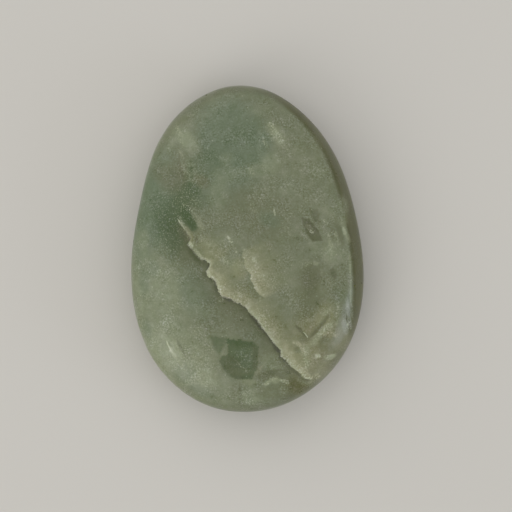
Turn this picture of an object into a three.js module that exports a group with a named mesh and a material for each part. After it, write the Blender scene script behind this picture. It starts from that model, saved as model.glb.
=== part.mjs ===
// A flat tumbled quartz pebble that fills a palm: one solid, egg-shaped in plan, lens-shaped in section.
// Millimetres. +X is the bevelled flank, +Y the narrow end, +Z up; the stone stands on z = 0.
import * as THREE from "three";
import { mergeVertices } from "three/addons/utils/BufferGeometryUtils.js";

// Driving dimensions
const width = 35.7;
const length = 50;
const thickness = 11.5;

// Plan: how far the rim lies from the middle, every 30 degrees anticlockwise from +X
const rimReach = [18.4, 18.9, 22.4, 25.4, 23, 18.5, 17.6, 19.6, 22.9, 24.3, 23.1, 20.6];

// Section: rise and drop are measured from the girdle, the widest level. A fullness of 2 is an ellipse,
// and more of it flattens the face and tightens its shoulder.
const crownRise = 6.1;
const baseDrop = 5.6;
const crownFullness = { blunt: 4.2, gentle: 2.5, bluntTowards: 10 };
const baseFullness = 2.7;
const girdleBlend = 0.1;

// The steep bevel that follows the rim along the +X flank and fades out at both ends
const bevel = {
  towards: 22, // azimuth of its middle, in degrees
  halfSpan: 45, // degrees of full bevel on each side of that
  fadeSpan: 40, // degrees over which it fades out
  tilt: 63, // from straight up, in degrees
  inset: 1.35, // from the rim to the ridge, in plan
  ridge: 3.7, // height of the ridge above the girdle
  lift: 1.5, // how far it stands off the body where it has faded out
  sharpness: 56,
};

// Flats worn by tumbling: the way each one faces, how deep it is worn, and how crisp its edge is
const wornFlats = [
  { azimuth: 95, tilt: 3, depth: 0.45, sharpness: 12 }, // the table on the crown
  { azimuth: -42, tilt: 52, depth: 0.3, sharpness: 40 },
  { azimuth: 128, tilt: 48, depth: 0.25, sharpness: 30 },
  { azimuth: 228, tilt: 128, depth: 0.5, sharpness: 36 },
  { azimuth: 50, tilt: 134, depth: 0.45, sharpness: 32 },
  { azimuth: 165, tilt: 138, depth: 0.35, sharpness: 30 },
];

const footWear = 0.12; // depth of the flat that the stone rests on
const ballDetail = 18; // the surface has 20 * (ballDetail + 1)^2 triangles

const stoneMaterial = new THREE.MeshStandardMaterial({
  color: 0x73785f,
  roughness: 0.22,
  metalness: 0,
});

const radians = THREE.MathUtils.degToRad;

// Passes smoothly through every rim reach, all the way round.
function rimReachAt(angle) {
  const count = rimReach.length;
  return rimReach.reduce((sum, reach, i) => {
    const half = (angle - (i * 2 * Math.PI) / count) / 2;
    const sine = Math.sin(half);
    const weight =
      Math.abs(sine) < 1e-9 ? 1 : (Math.sin(count * half) * Math.cos(half)) / (count * sine);
    return sum + reach * weight;
  }, 0);
}

// The smaller of two lengths, with the corner between them rounded off.
function softMin(a, b, sharpness) {
  return (a ** -sharpness + b ** -sharpness) ** (-1 / sharpness);
}

function fullnessAt(angle, steepness) {
  const { blunt, gentle, bluntTowards } = crownFullness;
  const towards = (1 + Math.cos(angle - radians(bluntTowards))) / 2;
  const crown = gentle + (blunt - gentle) * towards ** 1.5;
  const above = THREE.MathUtils.smoothstep(steepness, -girdleBlend, girdleBlend);
  return baseFullness + (crown - baseFullness) * above;
}

// Distance from the middle to the rounded body, along a direction
function bodyDistance(direction) {
  const flat = Math.hypot(direction.x, direction.y);
  const angle = Math.atan2(direction.y, direction.x);
  const half = direction.z > 0 ? crownRise : baseDrop;
  const fullness = fullnessAt(angle, direction.z / Math.max(flat, 1e-9));
  return (
    ((flat / rimReachAt(angle)) ** fullness + (Math.abs(direction.z) / half) ** fullness) **
    (-1 / fullness)
  );
}

// Distance from the middle to the bevel, along a direction; infinite where it never meets the bevel
function bevelDistance(direction) {
  const flat = Math.hypot(direction.x, direction.y);
  const angle = Math.atan2(direction.y, direction.x);
  const turn = THREE.MathUtils.euclideanModulo(angle - radians(bevel.towards) + Math.PI, 2 * Math.PI);
  const away = THREE.MathUtils.radToDeg(Math.abs(turn - Math.PI));
  const faded = THREE.MathUtils.smoothstep(away, bevel.halfSpan, bevel.halfSpan + bevel.fadeSpan);
  const sine = Math.sin(radians(bevel.tilt));
  const cosine = Math.cos(radians(bevel.tilt));
  const face = (rimReachAt(angle) - bevel.inset) * sine + bevel.ridge * cosine + faded * bevel.lift;
  const towards = flat * sine + direction.z * cosine;
  return towards > 1e-6 ? face / towards : Infinity;
}

function wearFlat(points, flat) {
  const normal = new THREE.Vector3(
    Math.sin(radians(flat.tilt)) * Math.cos(radians(flat.azimuth)),
    Math.sin(radians(flat.tilt)) * Math.sin(radians(flat.azimuth)),
    Math.cos(radians(flat.tilt)),
  );
  const face = Math.max(...points.map((point) => point.dot(normal))) - flat.depth;
  for (const point of points) {
    const out = point.dot(normal);
    if (out > 0) point.multiplyScalar(softMin(1, face / out, flat.sharpness));
  }
}

// A ball of even triangles, flattened first so that the rim gets as many of them as the faces do
function stonePoints(position) {
  const points = [];
  for (let i = 0; i < position.count; i++) {
    const direction = new THREE.Vector3()
      .fromBufferAttribute(position, i)
      .multiply(new THREE.Vector3(width, length, thickness))
      .normalize();
    const distance = softMin(bodyDistance(direction), bevelDistance(direction), bevel.sharpness);
    points.push(direction.multiplyScalar(distance));
  }
  wornFlats.forEach((flat) => wearFlat(points, flat));
  const foot = Math.min(...points.map((point) => point.z)) + footWear;
  points.forEach((point) => (point.z = Math.max(point.z, foot)));
  return points;
}

function stoneGeometry() {
  const ball = new THREE.IcosahedronGeometry(1, ballDetail);
  ball.deleteAttribute("normal");
  ball.deleteAttribute("uv");
  const skin = mergeVertices(ball);
  skin.setFromPoints(stonePoints(skin.attributes.position));
  skin.computeBoundingBox();
  const size = skin.boundingBox.getSize(new THREE.Vector3());
  skin.scale(width / size.x, length / size.y, thickness / size.z);
  skin.computeBoundingBox();
  const middle = skin.boundingBox.getCenter(new THREE.Vector3());
  skin.translate(-middle.x, -middle.y, -skin.boundingBox.min.z);
  skin.computeVertexNormals();
  return skin;
}

const stone = new THREE.Mesh(stoneGeometry(), stoneMaterial);
stone.name = "stone";

const pebble = new THREE.Group();
pebble.add(stone);

export default pebble;
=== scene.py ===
import math

import bmesh
import bpy
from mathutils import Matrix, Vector, noise


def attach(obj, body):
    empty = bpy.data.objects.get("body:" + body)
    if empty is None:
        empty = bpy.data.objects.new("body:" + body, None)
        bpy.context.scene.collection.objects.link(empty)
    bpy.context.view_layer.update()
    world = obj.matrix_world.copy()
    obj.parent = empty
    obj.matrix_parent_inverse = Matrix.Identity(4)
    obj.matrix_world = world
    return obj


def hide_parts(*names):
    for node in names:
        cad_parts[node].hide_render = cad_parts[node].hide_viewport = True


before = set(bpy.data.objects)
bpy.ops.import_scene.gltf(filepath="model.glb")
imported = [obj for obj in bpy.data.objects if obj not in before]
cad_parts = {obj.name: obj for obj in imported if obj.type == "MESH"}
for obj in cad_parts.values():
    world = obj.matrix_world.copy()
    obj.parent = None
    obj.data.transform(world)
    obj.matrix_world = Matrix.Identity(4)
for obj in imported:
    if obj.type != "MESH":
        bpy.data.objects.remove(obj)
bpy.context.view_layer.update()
mm = 0.001

# Places and sizes on the stone are in millimetres, in the frame of the CAD model. A turn is in degrees,
# anticlockwise from +X seen from above. A gap is measured across a line, towards its left as it runs. A
# mark's size, and a streak's width, is from its middle out. A share is how much of a colour shows. The
# rows of clouds, patches and streaks hold what these name, in this order. A patch or a streak whose
# texture is left out is smooth.
cloudFields = ("colour", "at", "size", "turn", "share", "soft", "grain")
patchFields = ("colour", "at", "size", "turn", "share", "texture", "soft")
streakFields = ("colour", "at", "turn", "length", "bow", "width", "share", "texture")

stone = {
    "weld": 0.001,
    "halvings": 2,  # times that every edge of the solid is halved
    "evening": 2,  # smoothing passes after each halving
    "swell": {"size": 9, "height": 0.07},  # slow unevenness left by tumbling
    "ripple": {"size": 3.2, "height": 0.012},
    "footBlend": 1.2,  # height over which the foot stays untouched
    "facet": {"azimuth": -20, "tilt": 35, "depth": 0.28, "soft": 0.45},  # a flat rubbed on the crown's edge
    "fine": {"rounds": 2, "near": 0.75},  # extra halvings of the edges this near to a mark
    "crumble": {"size": 0.5, "finer": 2.7, "usual": 0.7, "least": 0.35},  # how unevenly the marks are cut
    "cut": {  # the low side, the lip and the groove of a seam, how far its ends taper, and a chip's steepness
        "lowSide": 1.6, "lip": 0.3, "foot": 0.45, "taper": 2, "steepness": 1.5,
    },
    "chips": [  # small hollows in the crown: place, turn, size, depth
        ((-11.2, -15.2), -62, (1.5, 0.25), 0.03),
        ((9.8, 2.8), -55, (1.9, 0.7), 0.04),
        ((-3.1, 1.1), -53, (0.7, 0.35), 0.05),
        ((3.9, 18.2), -50, (1.2, 0.4), 0.05),
        ((12.4, -16.3), 9, (0.9, 0.4), 0.06),
        ((10.7, -16.2), 5, (0.8, 0.4), 0.06),
        ((11.2, -11.5), 48, (2.9, 0.28), 0.04),
        ((8.1, -12.4), -45, (1.4, 0.2), 0.04),
        ((15.4, -11), -76, (1.6, 0.4), 0.05),
        ((14.7, 2.7), -69, (0.6, 0.2), 0.015),
        ((4.5, -15.2), -50, (0.9, 0.3), 0.05),
    ],
    "colours": {  # linear
        "sage": (0.174, 0.197, 0.113),
        "pale": (0.218, 0.240, 0.146),
        "warm": (0.240, 0.236, 0.122),
        "straw": (0.264, 0.276, 0.148),
        "mist": (0.254, 0.289, 0.183),
        "ash": (0.245, 0.248, 0.150),
        "haze": (0.315, 0.346, 0.222),
        "teal": (0.138, 0.184, 0.106),
        "moss": (0.140, 0.156, 0.074),
        "deep": (0.037, 0.080, 0.008),
        "olive": (0.106, 0.106, 0.024),
        "shade": (0.082, 0.090, 0.028),
        # painted shade for the sides that face away from the light
        "rimShade": (0.112, 0.122, 0.066),
        "flankShade": (0.066, 0.070, 0.006),
        "cream": (0.362, 0.362, 0.234),
        "fleck": (0.480, 0.510, 0.370),
        # painted glare for the window's reflection on the right flank
        "frost": (0.400, 0.425, 0.370),
        "crack": (0.040, 0.044, 0.018),
    },
    "drift": {"size": 8, "share": 0.4, "swing": 0.25},  # slow change of the ground colour
    "wander": {"size": 5, "reach": 1.1},  # how far the clouds' outlines stray
    "fray": {"size": 1.2, "reach": 0.5},  # the finer part of that
    "tear": {"size": 0.5, "reach": 0.22},  # how far the crown's marks stray
    "crown": (5.5, 7.5),  # heights over which the marks that only the crown has fade in
    "top": 11.3,  # height at which a seam that leans lies where it is drawn
    "clouds": [  # wide cloudy masses, right through the stone; grain is how much it breaks one up
        ("pale", (6, 12, 8), (5, 6.5, 8), 20, 0.55, 0.5, 0),
        ("pale", (13.2, 1, 8), (1.9, 6.5, 8), 12, 0.12, 0.5, 0),
        ("pale", (4.5, -4, 8), (4.5, 6, 8), 30, 0.35, 0.5, 0),
        ("warm", (11, -14.5, 8), (4.8, 5.6, 8), -30, 0.7, 0.45, 0),
        ("mist", (-14, -8.5, 7), (4, 10, 9), 6, 0.75, 0.5, 0),
        ("mist", (-10.5, -6, 8), (3.6, 4.6, 9), 20, 0.35, 0.5, 0),
        ("mist", (-1.5, -22, 8), (7, 2.8, 9), -4, 0.3, 0.5, 0),
        # partly paler stone and partly a painted sheen of the soft light from the lower left
        ("haze", (-9.6, -16.2, 8), (5, 4.8, 9), -35, 0.52, 0.6, 0.6),
        ("teal", (-2.2, 16, 8), (5.6, 6.6, 9), 20, 0.86, 0.35, 0),
        ("teal", (-5.5, 10.5, 8), (3.6, 5, 8), -25, 0.6, 0.5, 0),
        ("teal", (-14.3, 6.5, 8), (3.2, 8, 8), -14, 1, 0.4, 0),
        ("moss", (2, 4.5, 9), (5.5, 4, 7), 30, 0.35, 0.5, 1),
        ("moss", (10, -6.4, 9), (2.9, 3.8, 7), 0, 0.6, 0.5, 1),
        ("moss", (4.4, -17.4, 9), (3, 2.2, 7), -50, 0.5, 0.5, 1),
        ("olive", (7.6, -20.5, 8), (3.2, 1.8, 7), 30, 0.4, 0.4, 0.5),
        ("deep", (-11.5, 3.2, 9), (2.6, 4.6, 6), 8, 0.88, 0.6, 0.8),
        ("deep", (-9, 8.6, 9), (2.3, 3.6, 6), -12, 0.62, 0.5, 0.8),
        ("mist", (6, -11, 1), (8, 7, 3.5), 30, 0.7, 0.5, 0),
        ("deep", (-7, -8, 0.5), (3.2, 6, 3), -25, 0.75, 0.5, 1.2),
        ("teal", (5, 12, 1), (6, 7, 4), 15, 0.8, 0.4, 0),
        ("haze", (-8, 10, 0.8), (4, 6, 3), 25, 0.6, 0.6, 0),
    ],
    "patchSoft": 0.5,  # of a patch whose row doesn't end with its own
    "patches": [  # smaller ovals that only the crown has
        ("mist", (-9.1, 16.4), (2.3, 1.1), -53, 0.85, "smooth", 0.6),
        ("mist", (-11.4, 16.4), (0.6, 1.8), -20, 0.3),
        ("haze", (-8.7, 11.6), (1.9, 0.9), -62, 0.5, "crumbly"),
        ("mist", (3.3, 12.8), (1.3, 1.3), 0, 0.5),
        ("mist", (12.7, 6.1), (1.5, 0.8), -12, 0.1),
        ("haze", (12.2, -0.7), (1.1, 1.5), 0, 0.28),
        ("mist", (-14.7, -2.1), (1.5, 2.1), 0, 0.15),
        ("mist", (-11.9, -5.4), (2, 2.2), 0, 0.3),
        ("ash", (11.8, -15.4), (1.6, 1.3), 20, 0.5),
        ("moss", (-0.4, -17.3), (1.1, 0.5), 35, 0.35, "crumbly"),
        ("moss", (-2, -18.5), (0.6, 0.9), 20, 0.4, "crumbly"),
        ("mist", (-2, -2.4), (0.8, 1.3), 20, 0.5),
        ("mist", (0.2, -22.3), (1.9, 1), 0, 0.5),
        ("mist", (3.8, -17.1), (1.8, 1.3), 0, 0.5),
        ("moss", (9.8, -4.3), (1.6, 1.6), 0, 0.4),
        ("moss", (-9.9, 11), (1.1, 0.6), -60, 0.5),
        ("moss", (-6.9, 10.2), (1.3, 0.9), -30, 0.8),
        ("haze", (4.4, 17.2), (2.1, 1), -52, 0.45),
        ("teal", (3.3, 4.4), (1.6, 1.1), -20, 0.5),
        ("straw", (-5.4, -0.4), (2.2, 1.2), -20, 0.28),
        ("mist", (13.1, -0.7), (1.9, 1.3), -20, 0.35),
        ("shade", (9.6, -4.6), (1.5, 2.5), 0, 0.3),
        ("deep", (-7.6, -0.8), (1.5, 0.8), -48, 0.85),
        ("teal", (-7.8, -6.6), (4, 2.5), -60, 0.5),
        ("teal", (-7.4, -21.2), (2.2, 0.9), -30, 0.3),
        ("ash", (10.5, -18.1), (2.2, 1.8), 40, 0.75),
        ("ash", (14.3, -13.9), (1.3, 1.6), -10, 0.6),
        ("shade", (3, -18.9), (1.3, 0.5), 10, 0.3),
        ("olive", (7.9, -20.6), (1.9, 1.3), 20, 0.8),
        ("straw", (6.8, -16.5), (2.4, 1.1), -48, 0.5),
        ("haze", (8.8, -19.8), (1.3, 0.8), -20, 0.5),
        ("moss", (11.8, -14.6), (1.2, 0.9), 0, 0.4),
        ("straw", (11.7, -9.9), (1.3, 2.1), -20, 0.5),
        ("haze", (-4.9, -4.3), (1.6, 0.9), -40, 0.6, "crumbly"),
        ("fleck", (-5.7, -3.6), (0.8, 0.4), -50, 0.7, "crumbly"),
        ("haze", (-3.3, -6.6), (1.5, 0.9), -30, 0.2, "crumbly"),
        ("haze", (-5.1, 0.6), (0.9, 0.6), 0, 0.4, "crumbly"),
        ("haze", (-13.6, -13.4), (1.3, 1.1), 0, 0.35, "crumbly"),
        ("haze", (-6.6, -19.5), (1.8, 1.2), 0, 0.35, "crumbly"),
        ("haze", (-8.8, -20.1), (0.8, 0.6), 0, 0.45, "crumbly"),
        ("mist", (0.3, -22.5), (1.6, 1.2), 0, 0.5, "crumbly"),
        ("mist", (-4.3, 8.2), (1.4, 2.4), -10, 0.45),
        ("mist", (-3.1, 11.2), (2.1, 1.2), 0, 0.4),
        ("mist", (1.7, 11.8), (2.4, 1.1), 0, 0.5),
        ("mist", (-15.8, 1.2), (0.9, 1.8), 0, 0.55),
        ("moss", (-11.3, 10.8), (2, 2.4), -20, 0.65),
        ("mist", (14.5, 6.5), (0.8, 1.4), 12, 0.45),
        ("pale", (11.8, -5.8), (1.2, 1.5), 0, 0.4),
        ("moss", (5, -12.1), (2.8, 1), -45, 0.6),
        ("moss", (7.8, -13.2), (1.2, 0.8), 0, 0.3),
        ("moss", (2.6, -21.3), (1.4, 0.7), 25, 0.5),
        ("teal", (1.9, 16.2), (1.8, 1.3), 0, 0.6),
        ("teal", (-15.6, -4.8), (0.8, 2), 0, 0.45),
        ("haze", (-6.1, -19.7), (1.9, 1.6), 0, 0.35),
        ("teal", (-9.7, -18.8), (1.6, 1.3), 0, 0.3),
        ("moss", (2.6, -19.2), (1.1, 0.9), 0, 0.6),
        ("haze", (8.7, -15.4), (0.8, 0.8), 0, 0.5),
        ("moss", (8.6, -13.5), (0.9, 0.6), 0, 0.6),
        ("moss", (9.9, 15.2), (1.3, 1.6), 0, 0.25),
        ("mist", (4, 13.5), (1.1, 0.8), 0, 0.35),
        ("mist", (-3.2, 13.4), (1, 1), 0, 0.35),
        ("straw", (-1.1, -3), (1.2, 1.5), 0, 0.6),
        ("shade", (-5.8, -1.9), (1.5, 0.9), 0, 0.35, "crumbly"),
        ("mist", (-11.9, -6.2), (1.3, 1.9), 0, 0.4),
        ("mist", (-6.4, -9.2), (2.1, 0.9), 0, 0.3),
        ("moss", (-13.1, 11.6), (1.3, 1.5), 0, 0.45),
        ("mist", (10.2, 0.4), (0.9, 1.2), 0, 0.3),
        ("teal", (-14.2, -2.9), (0.9, 1.3), 0, 0.4),
        ("teal", (-15.2, -12.2), (0.7, 1.4), 15, 0.4),
        ("haze", (4.2, -19.9), (0.7, 0.5), 0, 0.55),
        ("moss", (3.7, -21.8), (1.9, 1.1), 15, 0.4),
        ("moss", (-1.8, -22), (0.7, 1.9), 0, 0.4),
        ("haze", (0.3, -20.1), (1.3, 0.5), 0, 0.35),
        ("mist", (5.5, -21.4), (0.6, 0.8), 0, 0.3),
        ("mist", (10.6, 11.7), (1.2, 0.9), 0, 0.25),
        ("moss", (13.3, 2.4), (1.3, 1.6), 0, 0.3),
        ("moss", (13.7, -13.7), (1, 0.6), 0, 0.3),
        ("shade", (-10.9, 10.5), (1.5, 1.6), 0, 0.2),
        ("shade", (-13.7, 11.8), (0.8, 1.5), -30, 0.2),
        ("haze", (-6.2, 1.3), (1.2, 0.9), 0, 0.2),
        ("mist", (-2.7, 1.4), (1.8, 1.1), 0, 0.3),
        ("haze", (14.6, 4.3), (0.6, 1), 0, 0.25),
        ("mist", (2, 20.9), (1.5, 0.9), 0, 0.25),
        ("moss", (-8.2, 5.5), (0.9, 1.8), 0, 0.3),
        ("moss", (-9.4, -0.9), (0.8, 1.3), 0, 0.3),
        ("moss", (-1.2, -7.6), (1.4, 0.7), 0, 0.35),
        ("haze", (-3.4, -4.7), (0.9, 0.7), 0, 0.2),
        ("mist", (3.6, -4.5), (1.8, 0.8), 0, 0.2),
        ("haze", (-10.9, -7.7), (0.9, 2.2), 0, 0.15),
        ("haze", (8.7, -16.7), (0.8, 0.8), 0, 0.25),
        ("haze", (-7.2, -16.7), (1.4, 0.8), 0, 0.2),
    ],
    "blocks": [  # darker angular grains of the crown; corners run anticlockwise
        {
            "colour": "deep", "share": 0.46, "soft": 0.2, "grain": 1.2, "ragged": 0.3,
            "corners": [
                (-5.3, -14.2), (-4.8, -15.4), (-4.2, -15.9), (-3.4, -14.5), (-2.8, -13.5),
                (-5.7, -13.1),
            ],
        },
        {
            "colour": "deep", "share": 0.54, "soft": 0.15, "grain": 0.3, "ragged": 0.2,
            "corners": [
                (-4.2, -16.9), (-3.7, -18.1), (-2.6, -19.3), (-1.6, -19.7), (-0.7, -19.6),
                (-2.8, -15.9), (-3.9, -16.2),
            ],
        },
        {
            "colour": "deep", "share": 0.62, "soft": 0.18, "grain": 0.9, "ragged": 0.3,
            "corners": [
                (-2.9, -15.9), (-0.8, -19.6), (0.7, -19.7), (1.1, -18.9), (1.5, -17.2), (1.7, -14.8),
                (0.6, -14), (-3.1, -13.5),
            ],
        },
        {
            "colour": "deep", "share": 0.55, "soft": 0.35, "grain": 0.6, "ragged": 0.3,
            "corners": [(-3, -14.6), (-1, -14.7), (0.8, -15.2), (1.5, -14.9), (0.6, -14.1), (-3, -13.6)],
        },
        {
            "colour": "shade", "share": 0.4, "soft": 0.3, "grain": 0.6, "ragged": 0.3,
            "corners": [(0.8, -18.1), (1.5, -18.1), (1.6, -14.9), (0.8, -14.6)],
        },
        {
            "colour": "shade", "share": 0.3, "soft": 0.3, "grain": 0.3, "ragged": 0.2,
            "corners": [
                (-4.2, -16.9), (-3.7, -18.1), (-1.6, -19.7), (-0.7, -19.6), (-1.2, -17), (-2.8, -15.9),
            ],
        },
        {
            "colour": "shade", "share": 0.68, "soft": 0.14, "grain": 0.4, "ragged": 0.1,
            "corners": [(8.7, 2.6), (9.8, 1.1), (11.3, 1.2), (10.6, 2.9), (9.2, 4.5), (8.1, 4.7)],
        },
        {
            "colour": "shade", "share": 0.46, "soft": 0.2, "grain": 0.4, "ragged": 0.1,
            "corners": [(10.1, 3.9), (11.2, 3.9), (10.6, 5.8), (9.2, 6.2)],
        },
    ],
    "seamEdge": 0.06,  # how soft the line of a seam is
    # A layer of colour lies beside a seam's line, to its right where its reach is less than 0. It is full as
    # far as its hold, a share of its reach. Along gives its strength from end to end, and spread its width.
    "seams": {
        "fracture": {
            "start": (-10.65, 4.66), "turn": -51.4, "length": 31.9, "lean": 0.25,
            "crownOnly": False, "step": 0.05, "groove": 0.09,
            "bends": [
                (0, 0), (1.9, -0.2), (3.8, -0.4), (4.1, -1.2), (5.8, -1.2), (7.3, -0.9), (8.4, -0.35),
                (8.8, -0.7), (9, -1.5), (9.6, -1.8), (10.3, -1.6), (11.1, -1.4), (11.8, -1.7),
                (12.6, -2), (13.4, -2.1), (14.2, -1.6), (15, -1.1), (15.9, -0.7), (16.9, -0.4),
                (19.5, -0.2), (21.1, -0.4), (22.2, -0.3), (23.4, -0.4), (24.6, -0.4), (25.3, -0.3),
                (26.1, -0.9), (27.4, -0.7), (28.4, -0.6), (29.7, -0.4), (30.9, -0.4), (31.9, 0),
            ],
            "fray": [{"size": 0.9, "reach": 0.2}, {"size": 0.3, "reach": 0.16}, {"size": 0.14, "reach": 0.1}],
            "layers": [
                # the first two layers paint the shadow on the fracture's low side
                {
                    "colour": "shade", "reach": -4.5, "share": 0.5, "hold": 0,
                    "along": [
                        (0, 0), (0.05, 0.4), (0.2, 0.85), (0.3, 0.8), (0.5, 1), (0.7, 0.8), (0.8, 0.3),
                        (1, 0),
                    ],
                },
                {
                    "colour": "shade", "reach": -1.3, "share": 0.7, "hold": 0.1,
                    "along": [
                        (0, 0), (0.06, 0.45), (0.18, 0.8), (0.3, 0.6), (0.45, 0.6), (0.6, 0.8),
                        (0.8, 0.8), (0.985, 0.8), (1, 0),
                    ],
                },
                {
                    "colour": "straw", "reach": 5, "share": 0.65, "hold": 0.2,
                    "along": [(0, 0), (0.1, 0.3), (0.2, 0.8), (0.3, 1), (0.6, 1), (0.9, 0.6), (1, 0)],
                },
                {
                    "colour": "cream", "reach": 2, "share": 0.8, "hold": 0.5, "lumpy": 0.5,
                    "spread": [
                        (0, 0.2), (0.12, 0.4), (0.25, 0.5), (0.32, 0.9), (0.4, 1), (0.8, 1),
                        (0.9, 0.75), (1, 0.45),
                    ],
                    "along": [
                        (0, 0), (0.1, 0.2), (0.22, 0.25), (0.3, 0.8), (0.4, 0.8), (0.46, 0.6),
                        (0.52, 0.5), (0.7, 0.5), (0.95, 1), (0.985, 0.95), (1, 0),
                    ],
                },
                {
                    "colour": "fleck", "reach": 0.7, "share": 0.55, "hold": 0.2, "sugary": 3,
                    "along": [
                        (0, 0), (0.02, 0.3), (0.1, 0.3), (0.2, 0.5), (0.3, 1), (0.4, 0.8), (0.46, 0.4),
                        (0.8, 0.5), (0.95, 0.7), (0.985, 0.8), (1, 0),
                    ],
                },
                {
                    "colour": "haze", "reach": 0.8, "share": 0.5, "hold": 0.4,
                    "along": [(0, 0), (0.5, 0), (0.56, 0.6), (0.7, 1), (0.85, 1), (0.92, 0.4), (1, 0)],
                },
                {
                    "colour": "crack", "reach": -0.4, "share": 0.5, "hold": 0.2, "sugary": 2.5,
                    "along": [
                        (0, 0), (0.1, 0.2), (0.27, 0.7), (0.4, 0.6), (0.55, 0.6), (0.62, 1), (0.8, 1),
                        (0.9, 0.3), (1, 0),
                    ],
                },
            ],
        },
        "feather": {
            "start": (-0.95, -0.2), "turn": -65.5, "length": 8.2, "lean": 0,
            "crownOnly": True, "step": 0.03, "groove": 0.02,
            "bends": [
                (0, 0), (1.3, -0.2), (2.7, -0.5), (3.9, -0.2), (5, -0.5), (6, -0.5), (7.2, -0.4),
                (8.2, 0.2),
            ],
            "fray": [{"size": 0.8, "reach": 0.2}, {"size": 0.35, "reach": 0.1}],
            "layers": [
                {
                    "colour": "moss", "reach": -2, "share": 0.45, "hold": 0.3,
                    "along": [(0, 0), (0.5, 0), (0.7, 0.9), (0.93, 1), (1, 0)],
                },
                {
                    "colour": "straw", "reach": 7, "share": 0.6, "hold": 0.1,
                    "along": [(0, 0), (0.1, 0.6), (0.5, 1), (0.8, 0.8), (1, 0)],
                },
                {
                    "colour": "cream", "reach": 3.3, "share": 0.7, "hold": 0.1, "lumpy": 0.4,
                    "along": [(0, 0), (0.15, 0.5), (0.3, 0.55), (0.55, 1), (0.85, 0.85), (1, 0)],
                },
                {
                    "colour": "fleck", "reach": 0.8, "share": 0.25, "hold": 0.2, "sugary": 1,
                    "along": [(0, 0), (0.2, 0.8), (0.75, 1), (1, 0)],
                },
            ],
        },
    },
    "streaks": [  # veins, chips and smears on the crown, along an arc that bows to their left
        ("haze", (-10.1, 17.5), -60, 2.2, 0, 0.3, 0.35),
        ("haze", (-10, 14.2), -63, 1.7, 0, 0.33, 0.5, "crumbly"),
        ("haze", (0.7, 11.6), -76, 1.9, 0, 0.45, 0.35, "crumbly"),
        ("mist", (2.1, 16.1), -94, 7.1, -0.3, 0.45, 0.15, "crumbly"),
        ("haze", (10.6, -13.2), -133, 6, 0, 0.6, 0.4),
        ("haze", (3.4, -20.1), 33, 2.4, 0.15, 0.27, 0.5),
        ("haze", (5.2, -20.1), -23, 2.5, 0.15, 0.24, 0.5),
        ("shade", (10.9, -11.5), -130, 5.2, 0.1, 0.55, 0.55, "crumbly"),
        ("teal", (-0.5, -16.6), -60, 3.4, 0, 1.1, 0.35, "crumbly"),
        ("moss", (-1, -18.6), 0, 5, 0, 0.8, 0.35),
        ("mist", (-3.3, -15.2), -80, 1.9, 0, 0.5, 0.2, "crumbly"),
        ("deep", (-8.9, 4.4), -59, 4.8, 0.15, 1.05, 0.9),
        ("fleck", (-9.3, 6.1), -35, 2.6, 0.15, 0.45, 0.8, "dusty"),
        ("haze", (-7.4, 4.1), -56, 3.3, 0, 0.6, 0.5, "crumbly"),
        ("warm", (-8.8, 2.1), -60, 3.2, 0, 0.7, 0.4),
        ("haze", (-9.2, 2.7), -62, 3.6, 0, 0.24, 0.5, "crumbly"),
        ("fleck", (-9.9, 3.6), -57, 2.2, 0, 0.17, 0.7),
        ("shade", (-9.7, 2), -61, 3.1, 0, 0.45, 0.5),
        ("fleck", (-8.6, 0.6), -34, 1.1, 0, 0.51, 0.9, "crumbly"),
        ("haze", (-7.5, -0.8), -51, 2.9, 0, 0.48, 0.6, "crumbly"),
        ("shade", (-7.6, 1.2), -69, 1.3, 0, 0.36, 0.5),
        ("fleck", (-2.7, 1.4), -53, 1.4, 0, 0.33, 0.65, "crumbly"),
        ("haze", (-1.9, 0), -63, 2, 0, 0.27, 0.5, "crumbly"),
        ("haze", (-3.1, -1.9), -45, 1.5, 0, 0.45, 0.5, "crumbly"),
        ("fleck", (4.1, 5.5), -78, 1.4, 0, 0.2, 0.5),
        ("fleck", (9.7, 2.6), -45, 0.9, 0, 0.39, 0.8, "crumbly"),
        ("haze", (13, 4.9), -42, 5.3, 0, 0.9, 0.15),
        ("haze", (15, 2.1), -69, 3.1, 0, 0.5, 0.35),
        ("haze", (13.5, 1.2), -57, 2.5, 0, 0.6, 0.3, "crumbly"),
        ("haze", (10.2, -2.2), -8, 1.1, 0, 0.45, 0.5),
        ("haze", (9.1, -2.3), 38, 1.7, 0, 0.22, 0.3),
        ("haze", (11.2, -4), -88, 3.9, 0, 0.22, 0.25, "crumbly"),
        ("shade", (13, -3.7), -71, 1.9, 0, 0.6, 0.5),
        ("haze", (11, 4.3), 143, 0.8, 0, 0.3, 0.3, "crumbly"),
        ("haze", (-10.5, -15), -61, 4, -0.22, 0.82, 0.5),
        ("shade", (-10, -14.8), -62, 3.2, -0.15, 0.27, 0.4),
        ("haze", (-9.8, -17.7), -61, 2.4, -0.15, 0.38, 0.25),
        ("fleck", (-11.7, -14.9), -62, 2.6, -0.12, 0.15, 1),
        ("fleck", (-11.2, -15.7), -58, 2.4, -0.1, 0.39, 0.55),
        ("haze", (-10.6, -16.4), -55, 3.6, -0.2, 0.3, 0.4),
        ("shade", (-1, -22.3), -88, 5, 0, 0.42, 0.3),
        ("haze", (-0.7, -17.9), -45, 2.6, 0, 0.18, 0.35, "crumbly"),
        ("haze", (11.2, -12.9), -133, 6, 0, 0.66, 0.7, "crumbly"),
        ("haze", (11.5, -10), -126, 3.6, 0.15, 0.6, 0.35, "crumbly"),
        ("shade", (10.9, -11.6), -130, 5, 0.1, 0.3, 0.35),
        ("shade", (8.1, -12.4), -45, 2.8, 0, 0.3, 0.6),
        ("fleck", (8.8, -13), -54, 1.3, 0, 0.15, 0.85),
        ("cream", (8.8, -17.8), -73, 2.2, 0, 0.17, 0.5),
        ("fleck", (-5.8, -3.7), -60, 1.3, 0, 0.3, 0.5),
        ("cream", (12.3, -13.3), -10, 3, 0.6, 0.45, 0.5, "crumbly"),
        ("moss", (11.7, -14), 16, 2.1, 0.3, 0.75, 0.6),
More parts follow.
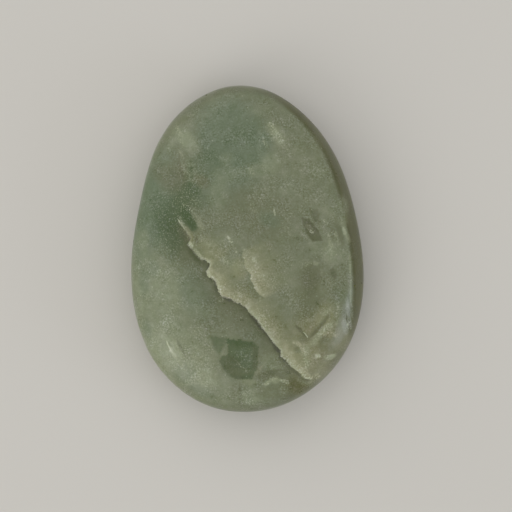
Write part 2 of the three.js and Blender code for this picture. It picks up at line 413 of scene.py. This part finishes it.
        ("fleck", (10.6, -16.1), 5, 1.1, -0.07, 0.42, 0.7),
        ("haze", (12.5, -16.1), 12, 2.4, -0.38, 0.5, 0.7),
        ("cream", (7.5, -14.4), -22, 1.6, 0.15, 0.45, 0.7, "crumbly"),
        ("cream", (8.4, -15.3), -67, 2, 0, 0.39, 0.7, "crumbly"),
        ("moss", (7.5, -15.3), -55, 1.3, 0, 0.51, 0.6),
        ("haze", (8.8, -17.2), -76, 3.2, 0.15, 0.36, 0.7, "crumbly"),
        ("cream", (10.4, -19.5), 10, 1.7, 0.15, 0.6, 0.8, "crumbly"),
        ("cream", (4.2, -19.6), 24, 1.5, 0.15, 0.33, 0.5, "crumbly"),
        ("cream", (1.7, -18.4), 55, 2.6, 0, 0.45, 0.3, "crumbly"),
        ("haze", (0.2, -1), -50, 3.5, 0, 0.6, 0.4, "crumbly"),
        ("fleck", (1.1, -1.8), -50, 1.2, 0, 0.33, 0.5, "crumbly"),
        ("haze", (1.9, -7.8), 50, 1.2, 0.15, 0.36, 0.5, "crumbly"),
        ("crack", (4.3, -14.9), -55, 1.7, 0, 0.42, 0.42),
        ("crack", (1.3, -11), -49, 3.4, 0, 0.39, 0.5),
        ("crack", (-6.2, -2.7), -58, 1.4, 0, 0.3, 0.5, "crumbly"),
        ("crack", (-4.8, -5.9), -74, 1.1, 0, 0.3, 0.5, "crumbly"),
        ("crack", (-3.1, -7.6), -29, 1.9, 0, 0.3, 0.5, "crumbly"),
        ("haze", (-10.2, 17.4), -72, 4.2, -0.15, 0.33, 0.55, "crumbly"),
        ("shade", (-10.1, 12.1), -73, 3.2, 0, 0.38, 0.4),
        ("haze", (3.6, 18.4), -48, 2, 0, 0.48, 0.7, "crumbly"),
        ("haze", (4.4, 17), -53, 3.2, 0.15, 0.8, 0.45, "crumbly"),
        ("fleck", (3.6, 18.7), -45, 1.2, 0, 0.36, 0.7, "crumbly"),
        ("fleck", (4.6, 17.3), -57, 1.3, 0, 0.3, 0.35, "crumbly"),
        ("haze", (2.7, 15.9), -67, 2.3, 0, 0.3, 0.45, "crumbly"),
        ("haze", (12.4, 0.6), -84, 4.1, 0.15, 0.5, 0.55, "crumbly"),
        ("haze", (13.6, 1.6), -71, 2.7, 0, 0.36, 0.5, "crumbly"),
        ("shade", (13.8, 2.1), -79, 4.9, 0.15, 0.6, 0.4, "crumbly"),
        ("fleck", (14.6, 2.7), -69, 1.5, 0, 0.36, 0.35),
        ("shade", (9.4, 3.9), -36, 2, 0.15, 0.22, 0.4),
        ("shade", (10.6, 2.4), -54, 2, 0.15, 0.22, 0.3),
        ("haze", (9.3, 3.2), -50, 1.6, 0, 0.45, 0.22),
        ("haze", (11.8, 4.1), -50, 1.2, 0, 0.38, 0.5, "crumbly"),
        ("fleck", (12.6, -16.3), 14, 1.6, 0.15, 0.3, 0.6, "crumbly"),
        # painted glare: the window's reflection on the flat of the right flank, broken by dark scratches
        ("frost", (15.2, -8.9), -82, 3.4, 0, 0.36, 0.3),
        ("frost", (15.4, -11.6), -73, 1.8, 0, 0.51, 0.45, "crumbly"),
        ("shade", (15.3, -10.1), -100, 1.6, 0, 0.1, 0.45),
        # a painted glint
        ("fleck", (15.2, -11.5), -70, 0.5, 0, 0.15, 0.7),
        ("frost", (15.9, -9.5), -84, 3.4, 0, 0.24, 0.3, "crumbly"),
        ("frost", (14.8, -11.9), -79, 2.8, 0, 0.6, 0.3),
        # pale streaks along the right ridge, partly a painted highlight on the ridge
        ("haze", (15.5, -2.4), -88, 4.2, 0, 0.22, 0.45),
        ("haze", (15.6, -6.5), -90, 4.4, 0, 0.22, 0.4),
        ("shade", (16.1, -9.5), -85, 4.6, 0, 0.24, 0.5, "crumbly"),
        ("shade", (15.4, -9.6), -76, 1.4, 0, 0.18, 0.6, "crumbly"),
        ("haze", (13.6, -9.8), -94, 3.9, 0, 0.36, 0.5, "crumbly"),
        ("haze", (3.5, -20.1), 33, 2.6, 0.15, 0.36, 0.9, "crumbly"),
        ("haze", (5.5, -20.1), -16, 2.4, 0.15, 0.33, 0.8, "crumbly"),
        ("shade", (3.9, -18.6), 13, 3.4, 0.15, 0.24, 0.5, "crumbly"),
        ("crack", (4.6, -15.5), -48, 2, 0, 0.33, 0.35, "crumbly"),
    ],
    "dustSoft": 0.7,
    "dust": [  # clusters of pale grains on the crown: x, y, radius, share
        (-3.1, 1.1, 0.9, 0.5), (-2.2, -0.4, 0.7, 0.5), (1.0, 6.3, 0.6, 0.5), (2.5, 5.2, 0.5, 0.4),
        (-0.7, 11.9, 0.4, 0.5), (-3.4, -2.0, 0.9, 0.5), (-10.1, -4.8, 0.7, 0.5), (-1.1, -10.4, 0.4, 0.5),
        (-7.6, -12.4, 0.6, 0.5), (12.6, -5.0, 0.6, 0.5), (-3.9, -7.6, 0.5, 0.5), (6.2, 9.4, 0.4, 0.5),
        (-6.6, 1.4, 0.8, 0.5), (5.8, 2.6, 1.3, 0.3), (6.0, 5.0, 1.2, 0.25), (8.6, -2.2, 0.7, 0.4),
        (-8.4, 11.4, 1.7, 0.4), (-11.3, 5.6, 3.2, 0.3), (-8.3, 7.6, 2.0, 0.3), (-0.2, -16.5, 1.8, 0.28),
        (1.4, 7.8, 1.6, 0.3), (-12.2, 0.6, 2.4, 0.3),
    ],
    # Light and dark specks in three sizes; high and low are the noise at which they are at their strongest.
    "grain": {"size": 0.26, "light": 0.5, "dark": 0.2, "high": 0.72, "low": 0.36},
    "crumbs": {"size": 1, "light": 0.12, "dark": 0.1, "high": 0.72, "low": 0.28},
    "mottle": {"size": 3.2, "light": 0.07, "dark": 0.07, "high": 0.72, "low": 0.28},
    "sugar": {"size": 2.6, "from": 0.4, "to": 0.62, "least": 0.35, "most": 1.3},  # where the grain shows most
    "glints": {"size": 0.2, "from": 0.5, "to": 0.72},  # the grain of the dust
    "crumbly": {"crumbs": 2.5, "grain": 4, "less": 2.6},  # what breaks up the crumbly marks
    "flecks": {"size": 0.75, "radius": 0.14, "from": 0.45, "share": 0.5},  # single pale grains
    "sides": [  # painted shade: darker where the stone faces this way, away from the light, with a painted dark reflection on the steep right flank; colour, turn, from, fully at, share
        ("rimShade", -48, 0.3, 0.8, 0.6),
        ("rimShade", 88, 0.45, 0.85, 0.5),
        ("flankShade", 20, 0.45, 0.8, 0.9),
    ],
    "roughness": (0.24, 0.36),
    "pits": {"size": 0.7, "depth": 0.006},
    "ior": 1.54,
    "glow": {"radius": (1.0, 1.25, 0.75), "scale": 1.2},  # how far light spreads inside
}


def smooth(value):  # 0 to 1, levelling off at both
    value = min(1, max(0, value))
    return value * value * (3 - 2 * value)


def seenFrom(at, turn, x, y):  # how far a place lies ahead and to the left of another
    turn = math.radians(turn)
    dx, dy = x - at[0], y - at[1]
    return dx * math.cos(turn) + dy * math.sin(turn), dy * math.cos(turn) - dx * math.sin(turn)


def seamGap(seam, x, y):  # along a seam, and across it from its bent line
    along, across = seenFrom(seam["start"], seam["turn"], x, y)
    bends = seam["bends"]
    for (a, offA), (b, offB) in zip(bends, bends[1:]):
        if along <= b:
            share = max(0, (along - a) / (b - a))
            return along, across - offA - (offB - offA) * share
    return along, across - bends[-1][1]


def nearMark(settings, place):
    if place.z < settings["crown"][1]:
        return False
    near = settings["fine"]["near"]
    for seam in settings["seams"].values():
        along, gap = seamGap(seam, place.x, place.y)
        if abs(gap) < near and -near < along < seam["length"] + near:
            return True
    for at, turn, (long, wide), _ in settings["chips"]:
        ahead, aside = seenFrom(at, turn, place.x, place.y)
        if abs(ahead) < long + near / 2 and abs(aside) < wide + near / 2:
            return True
    return False


def cutDepth(settings, place):  # how deep the seams and chips are cut into the crown here
    crumble, cut = settings["crumble"], settings["cut"]
    spot = place / crumble["size"]
    rough = noise.noise(spot) + 0.5 * noise.noise(spot * crumble["finer"])
    uneven = max(crumble["least"], crumble["usual"] + rough)
    lowSide, lip, foot = cut["lowSide"], cut["lip"], cut["foot"]
    depth = 0
    for seam in settings["seams"].values():
        along, gap = seamGap(seam, place.x, place.y)
        if -lowSide < gap < lip and 0 < along < seam["length"]:
            ends = smooth(along / cut["taper"]) * smooth((seam["length"] - along) / cut["taper"])
            below = smooth((lip - gap) / lip) * smooth((gap + lowSide) / lowSide)
            groove = max(0, 1 - (gap / foot) ** 2) ** 2
            depth += ends * (seam["step"] * below + seam["groove"] * groove * uneven)
    for at, turn, (long, wide), chipDepth in settings["chips"]:
        ahead, aside = seenFrom(at, turn, place.x, place.y)
        away = (ahead / long) ** 2 + (aside / wide) ** 2
        if away < 1:
            depth += chipDepth * smooth(cut["steepness"] * (1 - away)) * uneven
    return depth


def makeStone(settings):
    mesh = bmesh.new()
    mesh.from_mesh(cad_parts["stone"].data)
    bmesh.ops.remove_doubles(mesh, verts=mesh.verts, dist=settings["weld"] * mm)
    for _ in range(settings["halvings"]):
        bmesh.ops.subdivide_edges(mesh, edges=mesh.edges, cuts=1, use_grid_fill=True, smooth=1.0)
        for _ in range(settings["evening"]):
            bmesh.ops.smooth_vert(
                mesh, verts=mesh.verts, factor=0.5, use_axis_x=True, use_axis_y=True, use_axis_z=True
            )
    mesh.normal_update()
    wearStone(mesh, settings)
    for _ in range(settings["fine"]["rounds"]):
        near = {vert for vert in mesh.verts if nearMark(settings, vert.co / mm)}
        edges = [edge for edge in mesh.edges if edge.verts[0] in near and edge.verts[1] in near]
        bmesh.ops.subdivide_edges(mesh, edges=edges, cuts=1, use_grid_fill=True, smooth=1.0)
        bmesh.ops.triangulate(mesh, faces=[face for face in mesh.faces if len(face.verts) > 3])
    print("stone: surface refined to", len(mesh.faces), "faces")
    mesh.normal_update()
    scarStone(mesh, settings)
    bmesh.ops.recalc_face_normals(mesh, faces=mesh.faces)
    data = bpy.data.meshes.new("tumbled_stone")
    mesh.to_mesh(data)
    mesh.free()
    data.shade_smooth()
    piece = bpy.data.objects.new("tumbled_stone", data)
    bpy.context.scene.collection.objects.link(piece)
    return piece


def rubFacet(mesh, facet):
    turn, tilt = math.radians(facet["azimuth"]), math.radians(facet["tilt"])
    facing = Vector((math.sin(tilt) * math.cos(turn), math.sin(tilt) * math.sin(turn), math.cos(tilt)))
    face = max(vert.co.dot(facing) for vert in mesh.verts) / mm - facet["depth"]
    soft = facet["soft"]
    for vert in mesh.verts:
        over = vert.co.dot(facing) / mm - face
        if over > -soft:
            vert.co -= facing * (mm * (over if over > soft else (over + soft) ** 2 / (4 * soft)))


def wearStone(mesh, settings):
    rubFacet(mesh, settings["facet"])
    mesh.normal_update()
    for vert in mesh.verts:
        place = vert.co / mm
        push = 0
        for wave in (settings["swell"], settings["ripple"]):
            push += noise.noise(place / wave["size"]) * wave["height"]
        free = min(1, max(0, place.z / settings["footBlend"]))
        vert.co += vert.normal * (push * free * mm)
        vert.co.z = max(vert.co.z, 0)
    print("stone: worn by tumbling")


def scarStone(mesh, settings):
    low, high = settings["crown"]
    pushes = []
    for vert in mesh.verts:
        place = vert.co / mm
        if place.z > low:
            depth = cutDepth(settings, place) * smooth((place.z - low) / (high - low))
            if depth:
                pushes.append((vert, vert.normal * (-depth * mm)))
    for vert, push in pushes:
        vert.co += push
    print("stone:", len(pushes), "points cut along seams and chips")


# Small helpers for the material's nodes

noiseMiddle = 0.5
noiseGain = 4  # a noise seldom leaves 0.25 to 0.75, so this widens it to about 1 each way


def feed(tree, socket, value):
    if isinstance(value, bpy.types.NodeSocket):
        tree.links.new(value, socket)
    else:
        socket.default_value = value


def addNode(tree, kind, feeds, **settings):
    node = tree.nodes.new("ShaderNode" + kind)
    for name, value in settings.items():
        setattr(node, name, value)
    for socket, value in feeds.items():
        feed(tree, node.inputs[socket], value)
    return node


def calc(tree, operation, *values):
    return addNode(tree, "Math", dict(enumerate(values)), operation=operation).outputs[0]


def kept(tree, value):  # between 0 and 1
    return calc(tree, "MINIMUM", calc(tree, "MAXIMUM", value, 0), 1)


def vector(tree, operation, feeds):
    return addNode(tree, "VectorMath", feeds, operation=operation).outputs


def fade(tree, value, start, end):  # 0 at start, 1 at end
    feeds = {0: value, 1: start, 2: end}
    return addNode(tree, "MapRange", feeds, interpolation_type="SMOOTHSTEP", clamp=False).outputs[0]


def lumps(tree, point, size, detail=3, roughness=0.5):  # a noise whose lumps are about this many millimetres
    feeds = {"Vector": point, "Scale": 1 / size, "Detail": detail, "Roughness": roughness}
    return addNode(tree, "TexNoise", feeds).outputs


def blend(tree, share, under, over):
    return addNode(tree, "Mix", {0: share, 6: under, 7: over}, data_type="RGBA").outputs[2]


def product(tree, *shares):
    total = shares[0]
    for share in shares[1:]:
        total = calc(tree, "MULTIPLY", total, share)
    return total


def curve(tree, value, points, handle):  # points are (0 to 1, 0 to 1)
    node = addNode(tree, "FloatCurve", {1: value})
    line = node.mapping.curves[0]
    line.points[0].location = points[0]
    line.points[1].location = points[-1]
    for point in points[1:-1]:
        line.points.new(*point)
    for point in line.points:
        point.handle_type = handle
    node.mapping.extend = "HORIZONTAL"
    node.mapping.update()
    return node.outputs[0]


def swayed(tree, distance, rough, reach):  # a distance that a noise moves to and fro
    gain = noiseGain * reach
    return calc(tree, "ADD", distance, calc(tree, "MULTIPLY_ADD", rough, gain, -noiseMiddle * gain))


def strayed(tree, point, place, wave):  # the place, moved about by a noise
    shift = addNode(tree, "SeparateColor", {0: lumps(tree, point, wave["size"], detail=2)[1]}).outputs
    return [swayed(tree, place[i], shift[i], wave["reach"] / 2) for i in range(3)]


def speckled(tree, share, grain, amount):  # more of it where the grain is high
    if not amount:
        return share
    gain = calc(tree, "MULTIPLY_ADD", grain, 2 * amount, 1 - amount)
    return kept(tree, calc(tree, "MULTIPLY", share, gain))


# Node groups. A place reaches them as plain numbers, to keep a long material within what a renderer holds.

markInputs = {"Ground": "Color", "Colour": "Color", **dict.fromkeys(("Gate", "Share", "X", "Y"), "Float")}
slopeInputs = {f"{name} {part}": "Float" for name in ("Along", "Across") for part in ("X", "Y", "0")}


def newGroup(name, inputs, output, kind):
    tree = bpy.data.node_groups.new(name, "ShaderNodeTree")
    for socket, socketKind in inputs.items():
        tree.interface.new_socket(socket, in_out="INPUT", socket_type="NodeSocket" + socketKind)
    tree.interface.new_socket(output, in_out="OUTPUT", socket_type="NodeSocket" + kind)
    return tree, tree.nodes.new("NodeGroupInput").outputs, tree.nodes.new("NodeGroupOutput").inputs


def sloped(tree, source, name):  # a number that changes evenly over the stone
    aside = calc(tree, "MULTIPLY_ADD", source["Y"], source[name + " Y"], source[name + " 0"])
    return calc(tree, "MULTIPLY_ADD", source["X"], source[name + " X"], aside)


def slopes(name, at, turn, size):  # what makes sloped give how far a place is from another, in one direction
    cosine, sine = math.cos(math.radians(turn)) / size, math.sin(math.radians(turn)) / size
    return {name + " X": cosine, name + " Y": sine, name + " 0": -at[0] * cosine - at[1] * sine}


def patchGroup(name, hasHeight):  # an oval patch of colour, or an egg-shaped cloud where it has a height
    inputs = {**markInputs, **slopeInputs, "Soft": "Float"}
    if hasHeight:
        inputs.update({"Z": "Float", "Up Z": "Float", "Up 0": "Float"})
    tree, source, result = newGroup(name, inputs, "Ground", "Color")
    along, across = sloped(tree, source, "Along"), sloped(tree, source, "Across")
    away = calc(tree, "MULTIPLY_ADD", along, along, calc(tree, "MULTIPLY", across, across))
    if hasHeight:
        up = calc(tree, "MULTIPLY_ADD", source["Z"], source["Up Z"], source["Up 0"])
        away = calc(tree, "MULTIPLY_ADD", up, up, away)
    away = calc(tree, "SQRT", away)
    outer, inner = calc(tree, "ADD", 1, source["Soft"]), calc(tree, "SUBTRACT", 1, source["Soft"])
    share = product(tree, fade(tree, away, outer, inner), source["Share"], source["Gate"])
    feed(tree, result[0], blend(tree, share, source["Ground"], source["Colour"]))
    return tree


def streakGroup():  # a line of colour along an arc
    inputs = {**markInputs, **slopeInputs, "Bow": "Float"}
    tree, source, result = newGroup("streak", inputs, "Ground", "Color")
    along, across = sloped(tree, source, "Along"), sloped(tree, source, "Across")
    ends = calc(tree, "MULTIPLY", along, along)
    gap = calc(tree, "ADD", across, calc(tree, "MULTIPLY", source["Bow"], calc(tree, "SUBTRACT", ends, 1)))
    away = calc(tree, "MULTIPLY_ADD", gap, gap, calc(tree, "MULTIPLY", ends, ends))
    share = product(tree, fade(tree, away, 1, 0), source["Share"], source["Gate"])
    feed(tree, result[0], blend(tree, share, source["Ground"], source["Colour"]))
    return tree


def sideGroup():  # the lesser of a reach and the reach inside one side of a block
    names = ("Inside", "X", "Y", "Side X", "Side Y", "Side 0")
    tree, source, result = newGroup("side", dict.fromkeys(names, "Float"), "Inside", "Float")
    feed(tree, result[0], calc(tree, "MINIMUM", source["Inside"], sloped(tree, source, "Side")))
    return tree


def markFeeds(ground, colour, gate, place, mark, long, wide):
    return {
        "Ground": ground, "Colour": colour, "Gate": gate, "Share": mark["share"],
        "X": place[0], "Y": place[1],
        **slopes("Along", mark["at"], mark["turn"], long),
        **slopes("Across", mark["at"], mark["turn"] + 90, wide),
    }


def addPatch(tree, group, ground, colour, gate, place, mark):
    feeds = markFeeds(ground, colour, gate, place, mark, *mark["size"][:2])
    feeds["Soft"] = mark["soft"]
    if len(mark["size"]) > 2:
        deep = mark["size"][2]
        feeds.update({"Z": place[2], "Up Z": 1 / deep, "Up 0": -mark["at"][2] / deep})
    return addNode(tree, "Group", feeds, node_tree=group).outputs[0]


def addStreak(tree, group, ground, colour, gate, place, mark):
    feeds = markFeeds(ground, colour, gate, place, mark, mark["length"] / 2, mark["width"])
    feeds["Bow"] = mark["bow"] / mark["width"]
    return addNode(tree, "Group", feeds, node_tree=group).outputs[0]


def blockShare(tree, group, place, grain, block):
    corners = block["corners"]
    inside = 1000  # further than the stone goes
    for (x, y), (nextX, nextY) in zip(corners, corners[1:] + corners[:1]):
        turn = math.degrees(math.atan2(nextY - y, nextX - x))
        feeds = {"Inside": inside, "X": place[0], "Y": place[1], **slopes("Side", (x, y), turn + 90, 1)}
        inside = addNode(tree, "Group", feeds, node_tree=group).outputs[0]
    inside = swayed(tree, inside, grain, block["ragged"])
    return product(tree, fade(tree, inside, -block["soft"], block["soft"]), block["share"])


def seamShares(tree, settings, skin, seam):  # each layer of a seam, as (share, colour)
    point, place, length, spare = skin["point"], skin["place"], seam["length"], 0.1
    numbers = {"X": place[0], "Y": place[1], **slopes("Along", seam["start"], seam["turn"], length)}
    numbers.update(slopes("Across", seam["start"], seam["turn"] + 90, 1))
    along, gap = sloped(tree, numbers, "Along"), sloped(tree, numbers, "Across")
    low = min(off for _, off in seam["bends"]) - spare
    high = max(off for _, off in seam["bends"]) + spare
    bends = [(a / length, (off - low) / (high - low)) for a, off in seam["bends"]]
    bent = calc(tree, "MULTIPLY_ADD", curve(tree, along, bends, "VECTOR"), high - low, low)
    gap = calc(tree, "SUBTRACT", gap, bent)
    for wave in seam["fray"]:
        gap = swayed(tree, gap, lumps(tree, point, wave["size"], roughness=0.6)[0], wave["reach"])
    if seam["lean"]:
        lean = calc(tree, "MULTIPLY_ADD", place[2], seam["lean"], -settings["top"] * seam["lean"])
        gap = calc(tree, "ADD", gap, lean)
    for layer in seam["layers"]:
        part = calc(tree, "DIVIDE", gap, layer["reach"])
        edge = settings["seamEdge"] / abs(layer["reach"])
        start = fade(tree, part, -edge, edge)
        if "spread" in layer:
            part = calc(tree, "DIVIDE", part, curve(tree, along, layer["spread"], "AUTO_CLAMPED"))
        strength = curve(tree, along, layer["along"], "AUTO_CLAMPED")
        share = product(tree, fade(tree, part, 1, layer["hold"]), start, layer["share"], strength)
        share = speckled(tree, share, skin["crumbs"], layer.get("lumpy", 0))
        yield speckled(tree, share, skin["grain"], layer.get("sugary", 0)), layer["colour"]


def skinFields(tree, settings):  # what the rest of the material reads
    coordinates = addNode(tree, "TexCoord", {}).outputs
    point = vector(tree, "SCALE", {0: coordinates["Object"], 3: 1 / mm})[0]
    place = addNode(tree, "SeparateXYZ", {0: point}).outputs
    crown = fade(tree, place[2], *settings["crown"])
    frayed = strayed(tree, point, place, settings["fray"])
    astray = strayed(tree, point, frayed, settings["wander"])
    torn = strayed(tree, point, place, settings["tear"])
    grain = lumps(tree, point, settings["grain"]["size"], roughness=0.7)[0]
    crumbs = lumps(tree, point, settings["crumbs"]["size"])[0]
    glints, crumbly = settings["glints"], settings["crumbly"]
    sparkle = fade(tree, lumps(tree, point, glints["size"], detail=2)[0], glints["from"], glints["to"])
    broken = calc(tree, "MULTIPLY_ADD", grain, crumbly["grain"], -crumbly["less"])
    broken = kept(tree, calc(tree, "MULTIPLY_ADD", crumbs, crumbly["crumbs"], broken))
    textures = {
        "smooth": crown,
        "crumbly": product(tree, crown, broken),
        "dusty": product(tree, crown, sparkle),
    }
    return {
        "normal": coordinates["Normal"], "point": point, "place": place, "crown": crown, "astray": astray,
        "torn": torn, "grain": grain, "crumbs": crumbs, "textures": textures,
        "colours": {name: (*value, 1) for name, value in settings["colours"].items()},
    }


def cloudyGround(tree, settings, skin):
    colours, grain = skin["colours"], skin["grain"]
    group = patchGroup("cloud", True)
    clouds = [dict(zip(cloudFields, row)) for row in settings["clouds"]]
    amounts = sorted({mark["grain"] for mark in clouds})
    gates = {amount: speckled(tree, 1, grain, amount) for amount in amounts}
    drift = lumps(tree, skin["point"], settings["drift"]["size"])[0]
    share, swing = settings["drift"]["share"], settings["drift"]["swing"]
    high = product(tree, fade(tree, drift, noiseMiddle, noiseMiddle + swing), share)
    ground = blend(tree, high, colours["sage"], colours["teal"])
    low = product(tree, fade(tree, drift, noiseMiddle, noiseMiddle - swing), share)
    ground = blend(tree, low, ground, colours["pale"])
    for mark in clouds:
        gate = gates[mark["grain"]]
        ground = addPatch(tree, group, ground, colours[mark["colour"]], gate, skin["astray"], mark)
    return ground


# paints shade onto the sides of the stone that face away from the light
def paintShadedSides(tree, settings, skin, ground):
    for colour, turn, start, end, share in settings["sides"]:
        towards = (math.cos(math.radians(turn)), math.sin(math.radians(turn)), 0)
        facing = vector(tree, "DOT_PRODUCT", {0: skin["normal"], 1: towards})["Value"]
        darker = product(tree, fade(tree, facing, start, end), share)
        ground = blend(tree, darker, ground, skin["colours"][colour])
    return ground


def crownMarks(tree, settings, skin, ground):
    colours, grain, crown, torn = skin["colours"], skin["grain"], skin["crown"], skin["torn"]
    patches, streaks, sides = patchGroup("patch", False), streakGroup(), sideGroup()
    for row in settings["patches"]:
        mark = {"texture": "smooth", "soft": settings["patchSoft"], **dict(zip(patchFields, row))}
        gate = skin["textures"][mark["texture"]]
        ground = addPatch(tree, patches, ground, colours[mark["colour"]], gate, torn, mark)
    for block in settings["blocks"]:
        share = product(tree, blockShare(tree, sides, torn, grain, block), crown)
        ground = blend(tree, speckled(tree, share, grain, block["grain"]), ground, colours[block["colour"]])
    for seam in settings["seams"].values():
        for share, colour in seamShares(tree, settings, skin, seam):
            if seam["crownOnly"]:
                share = product(tree, share, crown)
            ground = blend(tree, share, ground, colours[colour])
    for row in settings["streaks"]:
        mark = {"texture": "smooth", **dict(zip(streakFields, row))}
        gate = skin["textures"][mark["texture"]]
        ground = addStreak(tree, streaks, ground, colours[mark["colour"]], gate, torn, mark)
    soft = settings["dustSoft"]
    for x, y, radius, share in settings["dust"]:
        mark = {"at": (x, y), "turn": 0, "size": (radius, radius), "share": share, "soft": soft}
        ground = addPatch(tree, patches, ground, colours["fleck"], skin["textures"]["dusty"], torn, mark)
    return ground


def flecksAndGrain(tree, settings, skin, ground):
    point, flecks, sugar = skin["point"], settings["flecks"], settings["sugar"]
    cells = addNode(tree, "TexVoronoi", {"Vector": point, "Scale": 1 / flecks["size"]}).outputs
    bright = addNode(tree, "SeparateColor", {0: cells["Color"]}).outputs[0]
    dot = fade(tree, cells["Distance"], flecks["radius"] / flecks["size"], 0)
    share = product(tree, dot, fade(tree, bright, flecks["from"], 1), flecks["share"])
    ground = blend(tree, share, ground, skin["colours"]["fleck"])
    sugary = fade(tree, lumps(tree, point, sugar["size"])[0], sugar["from"], sugar["to"])
    sugary = calc(tree, "MULTIPLY_ADD", sugary, sugar["most"] - sugar["least"], sugar["least"])
    mottle = lumps(tree, point, settings["mottle"]["size"])[0]
    for speckles, wave, gate in (
        (skin["grain"], settings["grain"], sugary),
        (skin["crumbs"], settings["crumbs"], 1),
        (mottle, settings["mottle"], 1),
    ):
        lift = product(tree, fade(tree, speckles, noiseMiddle, wave["high"]), wave["light"], gate)
        drop = product(tree, fade(tree, speckles, noiseMiddle, wave["low"]), wave["dark"], gate)
        scale = calc(tree, "SUBTRACT", calc(tree, "ADD", lift, 1), drop)
        richness = calc(tree, "SUBTRACT", 2, scale)  # darker specks are richer in colour
        feeds = {"Color": ground, "Value": scale, "Saturation": richness}
        ground = addNode(tree, "HueSaturation", feeds).outputs[0]
    return ground


def quartzMaterial(settings):
    material = bpy.data.materials.new("green_quartz")
    material.use_nodes = True
    tree = material.node_tree
    skin = skinFields(tree, settings)
    ground = cloudyGround(tree, settings, skin)
    ground = paintShadedSides(tree, settings, skin, ground)
    ground = crownMarks(tree, settings, skin, ground)
    ground = flecksAndGrain(tree, settings, skin, ground)
    shader = tree.nodes["Principled BSDF"]
    feed(tree, shader.inputs["Base Color"], ground)
    low, high = settings["roughness"]
    feed(tree, shader.inputs["Roughness"], calc(tree, "MULTIPLY_ADD", skin["crumbs"], high - low, low))
    pits = settings["pits"]
    height = lumps(tree, skin["point"], pits["size"], roughness=0.6)[0]
    bump = addNode(tree, "Bump", {"Distance": pits["depth"] * mm, "Height": height})
    feed(tree, shader.inputs["Normal"], bump.outputs[0])
    shader.inputs["IOR"].default_value = settings["ior"]
    shader.inputs["Subsurface Weight"].default_value = 1
    shader.inputs["Subsurface Radius"].default_value = settings["glow"]["radius"]
    shader.inputs["Subsurface Scale"].default_value = settings["glow"]["scale"] * mm
    print("material:", len(tree.nodes), "nodes")
    return material


floorSettings = {"radius": 2, "corners": 96, "colour": (0.60, 0.585, 0.55, 1), "roughness": 0.8}


def makeFloor(settings):
    mesh = bmesh.new()
    bmesh.ops.create_circle(mesh, cap_ends=True, segments=settings["corners"], radius=settings["radius"])
    data = bpy.data.meshes.new("floor")
    mesh.to_mesh(data)
    mesh.free()
    floor = bpy.data.objects.new("floor", data)
    bpy.context.scene.collection.objects.link(floor)
    material = bpy.data.materials.new("paleFloor")
    material.use_nodes = True
    shader = material.node_tree.nodes["Principled BSDF"]
    shader.inputs["Base Color"].default_value = settings["colour"]
    shader.inputs["Roughness"].default_value = settings["roughness"]
    data.materials.append(material)
    print("floor: in place")


lamps = {  # area lamps that face the stone, in metres and watts
    "broad": {"at": (-0.38, 0.42, 0.42), "size": (0.9, 0.9), "power": 1.15, "colour": (1, 0.98, 0.95)},
    "fill": {"at": (-0.40, -0.42, 0.38), "size": (0.4, 0.4), "power": 0.65, "colour": (1, 0.98, 0.95)},
    "window": {"at": (0.55, -0.20, 0.20), "size": (0.26, 0.20), "power": 0.40, "colour": (0.80, 0.88, 1)},
}
room = {"colour": (1, 0.99, 0.97, 1), "strength": 0.74}


def makeLights():
    for name, lamp in lamps.items():
        data = bpy.data.lights.new(name, "AREA")
        data.shape = "RECTANGLE"
        data.size, data.size_y = lamp["size"]
        data.energy = lamp["power"]
        data.color = lamp["colour"]
        light = bpy.data.objects.new(name, data)
        light.location = lamp["at"]
        light.rotation_euler = (-light.location).to_track_quat("-Z", "Y").to_euler()
        light.visible_camera = False
        bpy.context.scene.collection.objects.link(light)
    world = bpy.data.worlds.new("room")
    world.use_nodes = True
    sky = world.node_tree.nodes["Background"]
    sky.inputs["Color"].default_value = room["colour"]
    sky.inputs["Strength"].default_value = room["strength"]
    bpy.context.scene.world = world
    bpy.context.scene.view_settings.view_transform = "Standard"
    print("lights:", len(lamps), "lamps and the room")


cameraView = {  # in metres, but for the sensor, which is in millimetres
    "height": 0.300,  # above the floor
    "aim": (0.0013, -0.0011),  # what the picture is centred on
    "span": 0.0785,  # what the picture's side covers at the stone's girdle
    "girdle": 0.0058,
    "sensor": 36,
    "nearest": 0.01,
}


def makeCamera(view):
    data = bpy.data.cameras.new("camera")
    data.sensor_width = view["sensor"]
    data.lens = view["sensor"] * (view["height"] - view["girdle"]) / view["span"]
    data.clip_start = view["nearest"]
    camera = bpy.data.objects.new("camera", data)
    camera.location = (*view["aim"], view["height"])
    bpy.context.scene.collection.objects.link(camera)
    bpy.context.scene.camera = camera
    print("camera: lens", round(data.lens, 1), "mm")


makeCamera(cameraView)
piece = makeStone(stone)
piece.data.materials.append(quartzMaterial(stone))
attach(piece, "root")
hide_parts("stone")
makeFloor(floorSettings)
makeLights()
